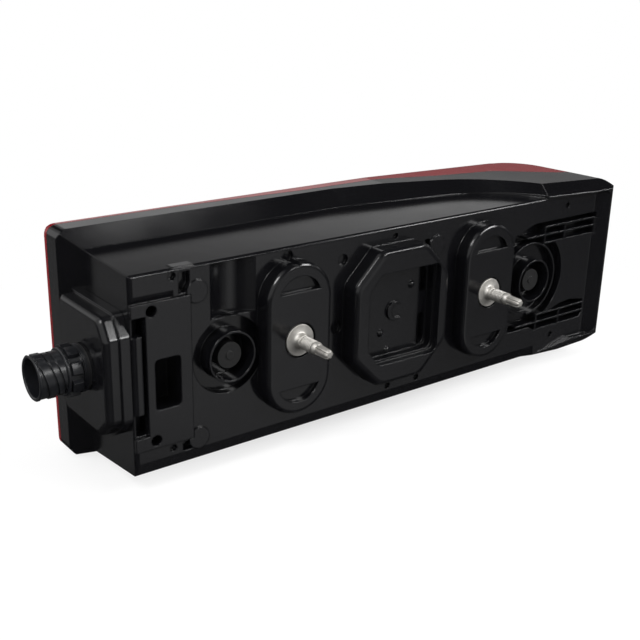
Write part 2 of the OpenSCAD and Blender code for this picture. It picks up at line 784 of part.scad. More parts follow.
// Flanged studs: a head inside, a collar let into the pad, the threaded shank, and a smaller end
plate_t = 2.5;
stud_head = pad_wall + plate_t;
module stud(x) {
    small = stud_d * 0.38;
    shoulder = stud_end - stud_out;
    rod(x, 0, stud_d / 2, shoulder, stud_head);
    rod(x, 0, stud_flange_d / 2, 0, stud_flange_t);
    rod(x, 0, stud_d * 0.8, stud_head, stud_head + 5, $fn = 6);
    translate([x, -shoulder, 0]) rotate([90, 0, 0]) {
        mirror([0, 0, 1]) cylinder(r1 = stud_d / 2, r2 = small, h = 2);
        mirror([0, 0, 1]) cylinder(r1 = small, r2 = small - 0.3, h = stud_end - 0.6);
        mirror([0, 0, 1]) cylinder(r1 = small - 0.3, r2 = small - 0.9, h = stud_end);
    }
    translate([x, 0, 0]) rotate([-90, 0, 0]) cylinder(r1 = stud_d / 2 + 1.4, r2 = stud_d / 2, h = 2.6);
}
module mounting_studs() { color("silver") for (side = [-1, 1]) stud(side * stud_spacing / 2); }

module stud_plates() {
    color([0.6, 0.6, 0.55]) for (side = [-1, 1]) difference() {
        between(pad_wall, stud_head)
            translate([side * stud_spacing / 2, 0]) polygon(box_sketch(30, 56, 4));
        rod(side * stud_spacing / 2, 0, stud_d / 2 + 0.1, 0, 30);
    }
}

// Fields of the lens, by the middle of each along the lamp
field_w = 50;
field_h = 84;
field_z = -3.5;
reversing_x = 145;
fog_x = 87;
stop_x = 29;
indicator_x = -29;
tail_x = -87;
retro_x = -145;

module field(x, grow) {
    translate([x, field_z]) polygon(box_sketch(field_w + 2 * grow, field_h + 2 * grow, 5 + grow));
}

module lens() {
    color([0.6, 0.02, 0.03, 0.85])
    difference() {
        lamp_form(0);
        lamp_form(lens_wall);
        behind_seam();
        for (x = [reversing_x, indicator_x]) between(80, lens_front + cut) field(x, gap / 4);
        between(lens_front - 1.6, lens_front + cut)
            translate([retro_x + 6, field_z]) polygon(box_sketch(30 + gap, 50 + gap, 3));
    }
}

module lens_sealant() {
    inner = wall + 1.4;
    color([0.2, 0.2, 0.2])
    difference() {
        intersection() { lamp_form(wall + 0.05); behind_seam(2); }
        lamp_form(inner);
        behind_seam(-2);
        flange_air(inner);
    }
}

module window_pane(x) { between(lens_front - lens_wall, lens_front) field(x, 0); }
module indicator_window() { color([0.9, 0.45, 0.02, 0.85]) window_pane(indicator_x); }
module reversing_window() { color([0.85, 0.88, 0.9, 0.6]) window_pane(reversing_x); }

module retro_reflector() {
    color([0.7, 0.02, 0.03])
    between(lens_front - 1.6, lens_front)
        translate([retro_x + 6, field_z]) polygon(box_sketch(30, 50, 3));
}

bowl_at = [for (x = [reversing_x, fog_x, stop_x, indicator_x, tail_x], dz = [-1, 1])
    [x, field_z + dz * (bowl_r + 1)]];
led_h = 2;
neck_r = 6;

// Metallised tray: a plate with a bowl for each lamp, whose neck sits on the board
module reflector() {
    foot = board_depth + board_t;
    skin = 1.2;
    color([0.8, 0.82, 0.85])
    difference() {
        union() {
            between(tray_depth - 1.6, tray_depth) intersection() {
                lamp_outline(lens_wall + 5);
                rectangle([[end_board_x - 6, -rim_bottom], [rim_end - 4.5, rim_top]]);
            }
            for (p = bowl_at) translate([p.x, -foot, p.y]) rotate([90, 0, 0])
                cylinder(r1 = neck_r + skin, r2 = bowl_r + skin, h = tray_depth - foot);
        }
        for (p = bowl_at) translate([p.x, -foot, p.y]) rotate([90, 0, 0])
            cylinder(r1 = neck_r, r2 = bowl_r, h = tray_depth - foot);
        for (p = bowl_at) rod(p.x, p.y, neck_r, foot - cut, foot + 0.01);
        for (p = bowl_at) rod(p.x, p.y, bowl_r, tray_depth - 0.01, tray_depth + cut);
    }
}

module main_board() {
    color([0.1, 0.35, 0.18])
    difference() {
        between(board_depth, board_depth + board_t)
            rectangle([[-118, 14.5 - box_bottom], [box_end - 7.2, box_top - 10.5]]);
        for (p = post_at) rod(p.x, p.y, screw_r + 0.2, board_depth - cut, board_depth + board_t + cut);
    }
}

module end_board() {
    color([0.1, 0.35, 0.18])
    between(back_depth + wall, tray_depth - 12) translate([end_board_x - board_t / 2, -20]) square([board_t, 30]);
}

module led(x, z) {
    foot = board_depth + board_t;
    between(foot, foot + 1) translate([x - 2.5, z - 2.5]) square(5);
    translate([x, -foot - 1, z]) rotate([90, 0, 0]) cylinder(r1 = 2, r2 = 1.2, h = 1.4);
}
module led_pair(x) { for (p = bowl_at) if (p.x == x) led(p.x, p.y); }
module tail_leds() { color("yellow") led_pair(tail_x); }
module stop_leds() { color("yellow") led_pair(stop_x); }
module fog_leds() { color("yellow") led_pair(fog_x); }
module indicator_leds() { color("orange") led_pair(indicator_x); }
module reversing_leds() { color("white") led_pair(reversing_x); }

// Side marker lights, on the face of the end board that looks out of the end
module marker_leds() {
    color("yellow") for (z = [-13, 3])
        translate([end_board_x - board_t / 2 - 1.6, -58, z - 2.5]) cube([1.6, 5, 5]);
}

module driver_module() {
    color([0.15, 0.16, 0.18]) between(board_depth - 14, board_depth) translate([8, -24]) square([40, 40]);
}

// Plug on the board: where it ends towards the inlet, its width, and its height off the board
board_plug_x = 137;
board_plug_w = 16;
board_plug_h = 12;
module board_plug() {
    color([0.85, 0.85, 0.8])
    between(board_depth - board_plug_h, board_depth)
        translate([board_plug_x - board_plug_w, plug_z - board_plug_w / 2]) square(board_plug_w);
}

// Wires from the inlet's contacts to the board plug
module wiring_loom() {
    color([0.6, 0.1, 0.1]) for (p = pin_at)
        translate([board_plug_x, -plug_depth + p.x * 0.5, plug_z + p.y * 0.5]) rotate([0, 90, 0])
            cylinder(r = 1.1, h = box_end + cover_out - board_plug_x, $fn = 24);
}

module board_screws() {
    color("silver") for (p = post_at) {
        rod(p.x, p.y, 2.8, board_depth + board_t, board_depth + board_t + 2);
        rod(p.x, p.y, screw_r, board_depth - 9, board_depth + board_t);
    }
}

housing();
terminal_cover();
cover_screws();
end_cover();
connector_seal();
connector_shell();
locking_ring();
pin_carrier();
contact_pins();
breather_near();
breather_far();
mounting_studs();
stud_plates();
lens();
lens_sealant();
indicator_window();
reversing_window();
retro_reflector();
reflector();
main_board();
end_board();
tail_leds();
stop_leds();
fog_leds();
indicator_leds();
reversing_leds();
marker_leds();
driver_module();
board_plug();
wiring_loom();
board_screws();
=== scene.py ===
# %% [markdown]
# # Rear combination lamp for a truck
#
# The lamp is looked at from the side that bolts to the vehicle. Nearly all that shows is one large black
# moulding, so the looks rest on its gloss, on its rounded edges and on what it mirrors.
#
# The solids come from the CAD frame and stay where they are. Here they get their finishes, and the small
# pieces that a turned or threaded shape needs are modelled by hand.

import math

import bmesh
import bpy
from mathutils import Matrix, Vector


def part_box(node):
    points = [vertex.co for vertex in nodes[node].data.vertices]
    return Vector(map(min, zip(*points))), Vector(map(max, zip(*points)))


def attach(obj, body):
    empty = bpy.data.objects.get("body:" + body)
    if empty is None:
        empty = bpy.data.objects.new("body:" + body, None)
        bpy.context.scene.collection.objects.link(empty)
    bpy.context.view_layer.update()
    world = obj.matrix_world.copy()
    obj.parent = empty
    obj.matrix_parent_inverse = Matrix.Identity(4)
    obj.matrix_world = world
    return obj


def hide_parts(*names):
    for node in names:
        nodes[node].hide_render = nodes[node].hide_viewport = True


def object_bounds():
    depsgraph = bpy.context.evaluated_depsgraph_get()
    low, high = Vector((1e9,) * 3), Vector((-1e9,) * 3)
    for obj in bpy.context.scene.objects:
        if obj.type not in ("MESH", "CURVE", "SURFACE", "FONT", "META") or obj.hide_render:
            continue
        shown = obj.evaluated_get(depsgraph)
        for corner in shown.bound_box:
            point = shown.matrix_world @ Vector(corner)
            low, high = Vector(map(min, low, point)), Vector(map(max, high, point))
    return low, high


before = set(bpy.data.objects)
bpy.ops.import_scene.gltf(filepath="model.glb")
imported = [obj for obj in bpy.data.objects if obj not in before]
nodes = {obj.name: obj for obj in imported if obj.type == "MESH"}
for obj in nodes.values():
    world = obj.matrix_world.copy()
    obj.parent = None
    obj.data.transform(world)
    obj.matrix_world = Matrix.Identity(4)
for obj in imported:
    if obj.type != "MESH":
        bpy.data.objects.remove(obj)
cad_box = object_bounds()
scene = bpy.context.scene
MM = 0.001
print("nodes", len(nodes), "box", [[round(v, 4) for v in corner] for corner in cad_box])

# %% [markdown]
# ## Camera
#
# The camera's place comes from the vanishing points of the housing's long edges, so straight lines in the
# render run where they run in the photograph. A 57.6 mm lens on a 36 mm square frame has the same view.

# %% Camera
CAMERA_AT = Vector((0.3966, 0.4326, 0.2108))
LOOK = Vector((-0.5736, -0.7426, -0.3456)).normalized()
IMAGE_RIGHT = Vector((-0.7960, 0.6050, 0.0219)).normalized()

bpy.ops.object.camera_add()
camera = bpy.context.object
image_up = IMAGE_RIGHT.cross(LOOK).normalized()
turn = Matrix((IMAGE_RIGHT, image_up, -LOOK)).transposed()
camera.matrix_world = Matrix.Translation(CAMERA_AT) @ turn.to_4x4()
camera.data.lens = 57.6
camera.data.sensor_width = 36
camera.data.clip_start = 0.01
scene.camera = camera
print("camera", [round(v, 3) for v in camera.location])

# %% [markdown]
# ## Node and colour helpers
#
# Every finish is a small tree of shader nodes. One function adds a node with its settings and its links,
# and one turns the sRGB colours that a screen shows into the linear numbers that a shader wants.

# %% Helpers for materials
def linear(code):
    """An sRGB hex colour as linear red, green, blue and alpha."""
    parts = [int(code[i : i + 2], 16) / 255 for i in (1, 3, 5)]
    return [p / 12.92 if p <= 0.04045 else ((p + 0.055) / 1.055) ** 2.4 for p in parts] + [1.0]


def add(tree, kind, inputs=None, stops=(), **settings):
    """Adds a shader node. An input is a value, or the socket of another node to link from, and stops are
    the places and colours of a colour ramp."""
    node = tree.nodes.new(kind)
    for key, value in settings.items():
        setattr(node, key, value)
    for key, value in (inputs or {}).items():
        if isinstance(value, bpy.types.NodeSocket):
            tree.links.new(value, node.inputs[key])
        else:
            node.inputs[key].default_value = value
    for number, (place, colour) in enumerate(stops):
        elements = node.color_ramp.elements
        element = elements[number] if number < len(elements) else elements.new(place)
        element.position = place
        element.color = colour if not isinstance(colour, float) else (colour, colour, colour, 1)
    return node


def finish(name, **shader):
    """A new material with its shader, and object coordinates for its patterns."""
    material = bpy.data.materials.new(name)
    material.use_nodes = True
    tree = material.node_tree
    tree.nodes.clear()
    place = add(tree, "ShaderNodeTexCoord").outputs["Object"]
    surface = add(tree, "ShaderNodeBsdfPrincipled", shader)
    add(tree, "ShaderNodeOutputMaterial", {"Surface": surface.outputs["BSDF"]})
    return material, tree, place, surface


def drive(tree, surface, **inputs):
    """Links patterns into the shader's sockets, whose names are written with low lines for spaces."""
    for key, socket in inputs.items():
        tree.links.new(socket, surface.inputs[key.replace("_", " ")])


def dress(names, material):
    """Gives CAD nodes a material in all their slots."""
    for name in names.split():
        slots = nodes[name].data.materials
        slots.clear()
        slots.append(material)


# %% [markdown]
# ## Glossy black ABS
#
# The housing is injection moulded in black ABS from a polished tool. That gives a deep black with a clear
# but slightly wavy reflection, and every edge carries a small radius that catches the light.
#
# The wave is a broad noise, about 14 mm from crest to crest. The fine grain is real at about 0.1 mm, and is
# drawn at 0.6 mm so that it shows in the render. The gloss drifts over about 40 mm, as it does where the
# melt flowed.

# %% Glossy black ABS
MOULD_RADIUS = 0.0009


def moulded_black(name, colour, rough):
    material, tree, place, surface = finish(
        name, **{"Base Color": linear(colour), "IOR": 1.5, "Specular IOR Level": 0.42}
    )
    wave = add(tree, "ShaderNodeTexNoise", {"Vector": place, "Scale": 70.0, "Detail": 2.0})
    fine = add(tree, "ShaderNodeTexNoise", {"Vector": place, "Scale": 1600.0, "Detail": 2.0})
    patch = add(tree, "ShaderNodeTexNoise", {"Vector": place, "Scale": 25.0, "Detail": 4.0})
    rounded = add(tree, "ShaderNodeBevel", {"Radius": MOULD_RADIUS}, samples=6)
    soft = add(tree, "ShaderNodeBump",
               {"Strength": 0.05, "Distance": 0.0004, "Height": wave.outputs["Fac"],
                "Normal": rounded.outputs["Normal"]})
    bump = add(tree, "ShaderNodeBump",
               {"Strength": 0.04, "Distance": 0.0001, "Height": fine.outputs["Fac"],
                "Normal": soft.outputs["Normal"]})
    gloss = add(tree, "ShaderNodeValToRGB", {"Fac": patch.outputs["Fac"]},
                stops=[(0.3, rough * 0.85), (0.7, rough * 1.2)]).outputs["Color"]
    drive(tree, surface, Roughness=gloss, Normal=bump.outputs["Normal"])
    return material


dress("housing", moulded_black("glossy_black_abs", "#09090b", 0.15))
dress("terminal_cover end_cover driver_module", moulded_black("cover_black_abs", "#0b0b0d", 0.19))

# %% [markdown]
# ## Glass filled nylon
#
# The inlet and its nut are moulded in nylon filled with glass fibre. The fibres leave the skin duller than
# ABS, with a slight mottle of grey. The seals are rubber, but they are dull and mottled in the same way, so
# the same function finishes them with a higher roughness.

# %% Glass filled nylon
def filled_nylon(name, dark, pale, rough):
    material, tree, place, surface = finish(name, **{"IOR": 1.53})
    mottle = add(tree, "ShaderNodeTexNoise", {"Vector": place, "Scale": 900.0, "Detail": 5.0})
    rounded = add(tree, "ShaderNodeBevel", {"Radius": 0.0004}, samples=6)
    bump = add(tree, "ShaderNodeBump",
               {"Strength": 0.002, "Distance": 0.0001, "Height": mottle.outputs["Fac"],
                "Normal": rounded.outputs["Normal"]})
    colour = add(tree, "ShaderNodeValToRGB", {"Fac": mottle.outputs["Fac"]},
                stops=[(0.35, linear(dark)), (0.7, linear(pale))]).outputs["Color"]
    gloss = add(tree, "ShaderNodeValToRGB", {"Fac": mottle.outputs["Fac"]},
                stops=[(0.3, rough), (0.7, rough + 0.04)]).outputs["Color"]
    drive(tree, surface, Base_Color=colour, Roughness=gloss, Normal=bump.outputs["Normal"])
    return material


inlet_nylon = filled_nylon("black_filled_nylon", "#0f1013", "#121317", 0.3)
dress("connector_shell locking_ring pin_carrier", inlet_nylon)
dress("breather_near breather_far", filled_nylon("grey_breather_nylon", "#0c0c0d", "#141414", 0.45))
dress("board_plug", filled_nylon("white_plug_nylon", "#c9c6bb", "#dedbd0", 0.4))
dress("connector_seal lens_sealant", filled_nylon("black_seal_rubber", "#101011", "#19191a", 0.6))

# %% [markdown]
# ## Bright zinc on steel
#
# The studs and screws are cold headed steel with a bright zinc plate. The plate is a metal with a soft
# sheen, a little blotchy where the passivation dried, so its roughness changes over a few millimetres.
# The contacts and the black screws are plated too, in other colours.

# %% Bright zinc
def plated(name, colour, tint, rough):
    material, tree, place, surface = finish(name, **{"Metallic": 1.0})
    blotch = add(tree, "ShaderNodeTexNoise", {"Vector": place, "Scale": 300.0, "Detail": 4.0})
    fine = add(tree, "ShaderNodeTexNoise", {"Vector": place, "Scale": 2500.0, "Detail": 2.0})
    rounded = add(tree, "ShaderNodeBevel", {"Radius": 0.0003}, samples=6)
    bump = add(tree, "ShaderNodeBump",
               {"Strength": 0.15, "Distance": 0.0001, "Height": fine.outputs["Fac"],
                "Normal": rounded.outputs["Normal"]})
    shade = add(tree, "ShaderNodeValToRGB", {"Fac": blotch.outputs["Fac"]},
                stops=[(0.35, linear(colour)), (0.7, linear(tint))]).outputs["Color"]
    gloss = add(tree, "ShaderNodeValToRGB", {"Fac": blotch.outputs["Fac"]},
                stops=[(0.3, rough), (0.7, rough + 0.12)]).outputs["Color"]
    drive(tree, surface, Base_Color=shade, Roughness=gloss, Normal=bump.outputs["Normal"])
    return material


zinc = plated("bright_zinc_steel", "#c1bfba", "#cecbc6", 0.5)
dress("mounting_studs stud_plates board_screws", zinc)
dress("contact_pins", plated("plated_contact_brass", "#c7a25a", "#d8b872", 0.25))
dress("cover_screws", plated("black_zinc_steel", "#131313", "#1e1e1f", 0.4))

# %% [markdown]
# ## Modelling by hand
#
# The pieces modelled here are turned or pressed, so one helper turns a body from its sections, and two pick
# the corners or the faces that the next operator acts on. An operator acts on all that is selected, so a
# helper leaves nothing selected before a new primitive comes.
#
# A finished piece has its place baked into its mesh. Its curved faces are smooth, while its sharper edges
# stay crisp.

# %% Helpers that select
def fresh():
    """Goes back to object mode with nothing selected."""
    if bpy.context.mode != "OBJECT":
        bpy.ops.object.mode_set(mode="OBJECT")
    bpy.ops.object.select_all(action="DESELECT")


def show(piece, edit):
    """Lets the operators see what was selected in a mesh by code."""
    edit.select_flush_mode()
    bmesh.update_edit_mesh(piece.data)


def pick_corners(piece, chosen):
    """In edit mode, selects only the corners of a piece that a test on their place, in metres, chooses."""
    bpy.ops.mesh.select_all(action="DESELECT")
    edit = bmesh.from_edit_mesh(piece.data)
    for vertex in edit.verts:
        vertex.select = chosen(vertex.co)
    show(piece, edit)


def pick_faces(piece, chosen):
    """Selects the faces of a piece that a test on the face and on its middle, in mm, chooses."""
    edit = bmesh.from_edit_mesh(piece.data)
    for face in edit.faces:
        face.select = chosen(face, face.calc_center_median() / MM)
    show(piece, edit)


# %% Helpers that shape
WELD = 0.01 * MM


def join(pieces, name):
    """Bakes the places of pieces into their meshes and joins them into the first one."""
    fresh()
    for piece in pieces:
        piece.select_set(True)
    bpy.context.view_layer.objects.active = pieces[0]
    bpy.ops.object.transform_apply(location=True, rotation=True, scale=True)
    if len(pieces) > 1:
        bpy.ops.object.join()
    pieces[0].name = name
    return pieces[0]


def settle(piece, angle):
    """Bakes the place into the mesh, closes its seams and smooths it up to an angle in degrees."""
    join([piece], piece.name)
    bpy.ops.object.mode_set(mode="EDIT")
    bpy.ops.mesh.select_all(action="SELECT")
    bpy.ops.mesh.remove_doubles(threshold=WELD)
    bpy.ops.mesh.normals_make_consistent(inside=False)
    bpy.ops.object.mode_set(mode="OBJECT")
    bpy.ops.object.shade_smooth_by_angle(angle=math.radians(angle))
    print(piece.name, len(piece.data.polygons), "faces")
    return piece


def disc(height, radius, sides):
    """A round plate across Z, in mm."""
    fresh()
    bpy.ops.mesh.primitive_circle_add(vertices=sides, radius=radius * MM, fill_type="NGON",
                                      location=(0, 0, height * MM))
    return bpy.context.object


def turned(name, sections, sides=48):
    """A closed turned body along Z: a disc that is extruded through each height and radius, in mm."""
    height, radius = sections[0]
    piece = disc(height, radius, sides)
    piece.name = name
    bpy.ops.object.mode_set(mode="EDIT")
    bpy.ops.mesh.select_all(action="SELECT")
    for next_height, next_radius in sections[1:]:
        bpy.ops.mesh.extrude_region_move(
            TRANSFORM_OT_translate={"value": (0, 0, (next_height - height) * MM)})
        share = next_radius / radius
        bpy.ops.transform.resize(value=(share, share, 1), center_override=(0, 0, next_height * MM))
        height, radius = next_height, next_radius
    bpy.ops.object.mode_set(mode="OBJECT")
    bpy.ops.object.transform_apply(location=True, rotation=True, scale=True)
    return piece


def lobed(height, radius, sides, lobes, share, drawn_in):
    """A disc with lobes, in mm, left in edit mode with all of it selected. A corner is drawn in to a share
    of its radius where drawn_in says so of its angle from the middle of its own lobe, in degrees."""
    plate = disc(height, radius, sides)
    bpy.ops.object.mode_set(mode="EDIT")
    step = 360 / lobes
    pick_corners(plate, lambda corner: drawn_in(
        abs(math.degrees(math.atan2(corner.y, corner.x)) % step - step / 2)))
    bpy.ops.transform.resize(value=(share, share, 1), center_override=(0, 0, height * MM))
    bpy.ops.mesh.select_all(action="SELECT")
    return plate


def take_place(piece, node, material):
    """Lets a finished piece stand for a CAD node, with its material."""
    piece.data.materials.clear()
    piece.data.materials.append(material)
    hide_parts(node)
    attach(piece, "root")


# %% [markdown]
# ## Threaded studs
#
# Each stud is cold headed from one rod: a hexagon head inside, a broad collar let into the pad, an M8 shank
# and a smaller end with six lobes for a driver. The body is turned, so it is a disc that is extruded from
# section to section. The lobes are the same disc with six of its places drawn in. The thread has a pitch of
# 1.25 mm, and is one small wedge that a Screw modifier carries round the shank.

# %% Body of one stud
PLATE_HALF = 15 * MM
STUD_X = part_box("stud_plates")[1][0] - PLATE_HALF
LOBES_FROM = 17.1

shank = turned("shank", [
    (-8.6, 3.9), (-2.4, 3.9), (-2.4, 9.1), (-2.1, 9.45), (-0.3, 9.45), (0, 9.15), (0.02, 5.4), (0.5, 4.8),
    (1.4, 4.2), (2.6, 4.0), (3.3, 4.0), (3.6, 3.62), (14.3, 3.62), (14.6, 4.0), (15.5, 4.0), (16.9, 3.3),
    (17.2, 3.1),
])
head = turned("head", [(-13.4, 5.6), (-12.9, 6.2), (-8.5, 6.2)], sides=6)

end = lobed(LOBES_FROM, 3.1, sides=48, lobes=6, share=0.78, drawn_in=lambda off: off < 9)
for rise, share in ((8.6, 0.93), (0.9, 0.86), (0.4, 0.8)):
    bpy.ops.mesh.extrude_region_move(TRANSFORM_OT_translate={"value": (0, 0, rise * MM)})
    bpy.ops.transform.resize(value=(share, share, 1), center_override=(0, 0, 0))
bpy.ops.object.mode_set(mode="OBJECT")

# %% Thread of one stud
PITCH = 1.25
TURNS = 7
WEDGE_WIDE = 1.1
WEDGE_OUT, WEDGE_UP = 3.55, 4.4
CREST_BEYOND = 3.6
CREST_SHARE = 0.2
CREST_IN = 0.12

fresh()
bpy.ops.mesh.primitive_plane_add(size=WEDGE_WIDE * MM, location=(WEDGE_OUT * MM, 0, WEDGE_UP * MM),
                                 rotation=(math.radians(90), 0, 0))
thread = bpy.context.object
bpy.ops.object.transform_apply(location=True, rotation=True, scale=True)
bpy.ops.object.mode_set(mode="EDIT")
pick_corners(thread, lambda corner: corner.x > CREST_BEYOND * MM)
bpy.ops.transform.resize(value=(1, 1, CREST_SHARE), center_override=(0, 0, WEDGE_UP * MM))
bpy.ops.transform.translate(value=(-CREST_IN * MM, 0, 0))
bpy.ops.mesh.select_all(action="SELECT")
bpy.ops.mesh.delete(type="ONLY_FACE")
bpy.ops.object.mode_set(mode="OBJECT")
screw = thread.modifiers.new("thread", "SCREW")
screw.axis, screw.screw_offset, screw.iterations = "Z", PITCH * MM, TURNS
screw.steps = screw.render_steps = 32
bpy.ops.object.modifier_apply(modifier=screw.name)
bpy.ops.object.mode_set(mode="EDIT")
bpy.ops.mesh.select_all(action="SELECT")
bpy.ops.mesh.fill_holes(sides=0)
bpy.ops.object.mode_set(mode="OBJECT")

stud = join([shank, head, end, thread], "threaded_stud")
stud.rotation_euler = (math.radians(-90), 0, 0)
stud.location = (STUD_X, 0, 0)
print("stud at", round(STUD_X, 4))

# %% Both studs
fresh()
stud.select_set(True)
bpy.context.view_layer.objects.active = stud
bpy.ops.object.duplicate()
other = bpy.context.object
other.location = (-STUD_X, 0, 0)
studs = settle(join([stud, other], "threaded_studs"), 40)
take_place(studs, "mounting_studs", zinc)

# %% [markdown]
# ## Bayonet inlet
#
# The inlet is a tube that the cable plug slides over. Slanting grooves in it lead the plug's lugs, so the
# tube is bisected at two tilted planes for each groove and the band between them is pushed in. Two small
# stops are pushed out the same way. The nut behind it has lobes for a hook wrench, which are a disc with
# every few of its places drawn in.

# %% Inlet tube
INLET_LONG = 28.2
INLET_SIDES = 72
SLANT = math.radians(13)
GROOVES = (23.9, 18.6, 14.9)
GROOVE_HALF = 0.55
GROOVE_DEEP = 0.9
STOP_FROM, STOP_TO = 19.2, 23.3
STOP_HIGH = 0.6
# The middle of a face is further out than this on the tube's skin, and nearer in a groove.
SKIN = 11.5
# And sideways the middle is further out than this only on two small patches of the skin.
STOP_SIDE = 11

low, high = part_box("connector_shell")
INLET_AT = Vector((high[0] - INLET_LONG * MM, (low[1] + high[1]) / 2, (low[2] + high[2]) / 2))


def along(middle):
    """How far out a place is, measured square to the slanting grooves."""
    return middle.x * math.sin(SLANT) + middle.z * math.cos(SLANT)


tube = turned("inlet_tube", [
    (-8, 8.4), (-8, 10.8), (1.5, 10.8), (1.5, 13.2), (3, 13.2), (3, 11.9), (26.6, 11.9), (26.9, 12.4),
    (27.7, 12.4), (INLET_LONG, 11.9), (INLET_LONG, 10.9), (27.7, 10.4), (4, 10.4), (4, 8.4), (-8, 8.4),
], sides=INLET_SIDES)
bpy.ops.object.mode_set(mode="EDIT")
bpy.ops.mesh.select_mode(type="FACE")
pick_faces(tube, lambda face, m: len(face.verts) == INLET_SIDES)
bpy.ops.mesh.delete(type="ONLY_FACE")
bpy.ops.mesh.select_all(action="SELECT")
bpy.ops.mesh.remove_doubles(threshold=WELD)
bpy.ops.mesh.normals_make_consistent(inside=False)
for groove in GROOVES:
    for edge in (groove - GROOVE_HALF, groove + GROOVE_HALF):
        bpy.ops.mesh.select_all(action="SELECT")
        bpy.ops.mesh.bisect(plane_co=(0, 0, edge * MM / math.cos(SLANT)),
                            plane_no=(math.sin(SLANT), 0, math.cos(SLANT)))
for groove in GROOVES:
    pick_faces(tube, lambda face, m: m.xy.length > 11 and abs(along(m) - groove) < GROOVE_HALF)
    bpy.ops.mesh.extrude_region_shrink_fatten(TRANSFORM_OT_shrink_fatten={"value": -GROOVE_DEEP * MM})
pick_faces(tube, lambda face, m: m.xy.length > SKIN and STOP_FROM < along(m) < STOP_TO
           and abs(m.x) > STOP_SIDE)
bpy.ops.mesh.extrude_region_shrink_fatten(TRANSFORM_OT_shrink_fatten={"value": STOP_HIGH * MM})
bpy.ops.mesh.select_mode(type="VERT")
bpy.ops.object.mode_set(mode="OBJECT")
tube.rotation_euler = (0, math.radians(90), 0)
tube.location = INLET_AT
take_place(settle(tube, 30), "connector_shell", inlet_nylon)

# %% Lobed nut
flanges = turned("nut_flanges", [
    (3, 12.9), (3.2, 13.2), (4, 13.2), (4.2, 12), (11.4, 12), (11.6, 13.2), (12.4, 13.2), (12.8, 12.7),
], sides=INLET_SIDES)
LOBES_RADIUS = 14.3
NUT_LOBES_FROM = 5
NUT_LOBES_LONG = 5.6
lobes = lobed(NUT_LOBES_FROM, LOBES_RADIUS, sides=INLET_SIDES, lobes=8, share=0.83,
              drawn_in=lambda off: off > 14)
bpy.ops.mesh.extrude_region_move(TRANSFORM_OT_translate={"value": (0, 0, NUT_LOBES_LONG * MM)})
bpy.ops.object.mode_set(mode="OBJECT")
nut = join([flanges, lobes], "lobed_nut")
nut.rotation_euler = (0, math.radians(90), 0)
nut.location = INLET_AT
take_place(settle(nut, 30), "locking_ring", inlet_nylon)

# %% [markdown]
# ## Red, amber and clear acrylic
#
# The lens is one shell of red acrylic with an amber and a clear field welded in. Acrylic has a higher gloss
# than the housing and lets light through, so its edge glows where the wall is seen end on.
#
# The face that shines is moulded with small pillows that spread the light, a grid of two crossed waves. On
# the lens they are 7 mm apart, and on the reflex reflector 2.5 mm, where real prisms are nearer to 1.5 mm.
# They stop where the lens turns back towards the housing.
#
# Blender's wave repeats every 0.314 units at a scale of 1, so that number over the pillows' spacing is the
# scale.

# %% Acrylic
FACE_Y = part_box("lens")[0][1] + 0.0035
WAVE_LONG = 0.314
LENS_PILLOW = 0.007
REFLEX_PILLOW = 0.0025


def acrylic(name, colour, through, pillow):
    material, tree, place, surface = finish(
        name, **{"Base Color": linear(colour), "IOR": 1.49, "Transmission Weight": through,
                 "Specular IOR Level": 0.3}
    )
    wave = add(tree, "ShaderNodeTexNoise", {"Vector": place, "Scale": 120.0, "Detail": 2.0})
    rounded = add(tree, "ShaderNodeBevel", {"Radius": 0.0005}, samples=6)
    bump = add(tree, "ShaderNodeBump",
               {"Strength": 0.05, "Distance": 0.0003, "Height": wave.outputs["Fac"],
                "Normal": rounded.outputs["Normal"]})
    waves = {"Vector": place, "Scale": WAVE_LONG / pillow}
    columns, rows = (add(tree, "ShaderNodeTexWave", waves, bands_direction=line).outputs["Fac"]
                     for line in "XZ")
    depth = add(tree, "ShaderNodeSeparateXYZ", {"Vector": place}).outputs["Y"]
    front = add(tree, "ShaderNodeMapRange", {"Value": depth, 1: FACE_Y, 2: FACE_Y - 0.001}).outputs["Result"]
    grid = add(tree, "ShaderNodeMath", {0: columns, 1: rows}, operation="MULTIPLY").outputs["Value"]
    pillows = add(tree, "ShaderNodeMath", {0: grid, 1: front}, operation="MULTIPLY").outputs["Value"]
    optics = add(tree, "ShaderNodeBump",
                 {"Strength": 0.5, "Distance": pillow * 0.1, "Height": pillows,
                  "Normal": bump.outputs["Normal"]})
    gloss = add(tree, "ShaderNodeValToRGB", {"Fac": wave.outputs["Fac"]},
                stops=[(0.3, 0.06), (0.7, 0.1)]).outputs["Color"]
    drive(tree, surface, Roughness=gloss, Normal=optics.outputs["Normal"])
    return material


dress("lens", acrylic("red_acrylic", "#820b15", 0.3, LENS_PILLOW))
dress("indicator_window", acrylic("amber_acrylic", "#f07808", 0.4, LENS_PILLOW))
dress("reversing_window", acrylic("clear_acrylic", "#f2f5f6", 0.85, LENS_PILLOW))
dress("retro_reflector", acrylic("reflex_red_acrylic", "#b00412", 0.1, REFLEX_PILLOW))

# %% [markdown]
# ## Inside the lamp
#
# The tray is vacuum metallised, so it is a mirror with a little haze. The boards carry green solder resist
# over copper, drawn as faint rows of tracks 2 mm apart. The diodes are pale ceramic packages.

# %% Metallised tray, boards, diodes and wire
def solder_resist(name):
    material, tree, place, surface = finish(name, **{"IOR": 1.5, "Roughness": 0.3})
    tracks = add(tree, "ShaderNodeTexBrick",
                 {"Vector": place, "Scale": 120.0, "Mortar Size": 0.03, "Color1": linear("#0c3a1e"),
                  "Color2": linear("#0f4424"), "Mortar": linear("#1c6437")})
    bump = add(tree, "ShaderNodeBump",
               {"Strength": 0.3, "Distance": 0.0001, "Height": tracks.outputs["Fac"]})
    drive(tree, surface, Base_Color=tracks.outputs["Color"], Normal=bump.outputs["Normal"])
    return material


